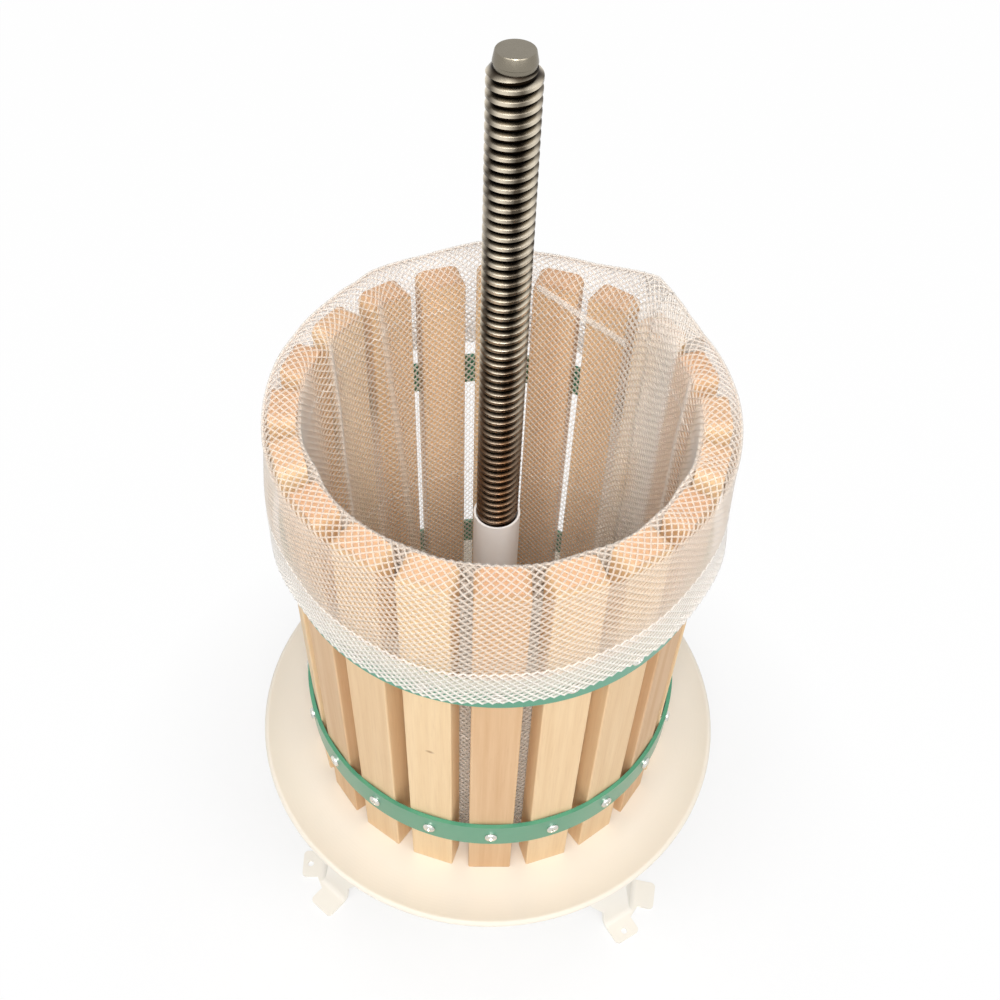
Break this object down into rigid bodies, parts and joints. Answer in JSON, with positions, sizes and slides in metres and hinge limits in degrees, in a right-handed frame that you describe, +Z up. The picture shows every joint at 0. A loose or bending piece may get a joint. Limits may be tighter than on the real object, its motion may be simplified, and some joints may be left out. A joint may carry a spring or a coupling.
{
  "type": "fruit press",
  "caption": "Basket fruit press: slatted beech basket with painted steel hoops and a net bag, round an upright screw spindle on a dished tray with folded sheet legs.",
  "frame": {"origin": "on the floor under the spindle's axis, level with the undersides of the foot tabs", "axes": "+Z up along the spindle, -Y towards the front of the press, +X to the right seen from the front"},
  "size_m": [0.323, 0.323, 0.6785],
  "materials": {
    "tray_coating": "smooth cream powder coat on pressed steel",
    "leg_coating": "smooth cream powder coat on folded steel",
    "spindle_steel": "oiled rolled thread with bright crests",
    "sleeve_plastic": "smooth cream tube",
    "zinc": "bright zinc plate",
    "beech": "planed and sanded beech, oiled",
    "hoop_paint": "semi-gloss green paint",
    "net": "knitted white diamond net"
  },
  "bodies": {
    "base": {"tray": "tray_coating", "spout": "tray_coating", "leg_right": "leg_coating", "leg_rear": "leg_coating", "leg_left": "leg_coating", "spindle": "spindle_steel", "spindle_sleeve": "sleeve_plastic", "base_washer": "zinc", "base_nut": "zinc"},
    "basket": {"stave_01": "beech", "stave_02": "beech", "stave_03": "beech", "stave_04": "beech", "stave_05": "beech", "stave_06": "beech", "stave_07": "beech", "stave_08": "beech", "stave_09": "beech", "stave_10": "beech", "stave_11": "beech", "stave_12": "beech", "stave_13": "beech", "stave_14": "beech", "stave_15": "beech", "stave_16": "beech", "stave_17": "beech", "stave_18": "beech", "stave_19": "beech", "stave_20": "beech", "lower_hoop": "hoop_paint", "upper_hoop": "hoop_paint", "lower_hoop_screws": "zinc", "upper_hoop_screws": "zinc"},
    "bag": {"net_bag": "net"}
  },
  "joints": [
    {"name": "basket_lift", "type": "slide", "parent": "base", "child": "basket", "axis": [0, 0, 1], "range_m": [0, 0.51]},
    {"name": "bag_lift", "type": "slide", "parent": "basket", "child": "bag", "axis": [0, 0, 1], "range_m": [0, 0.32]}
  ]
}
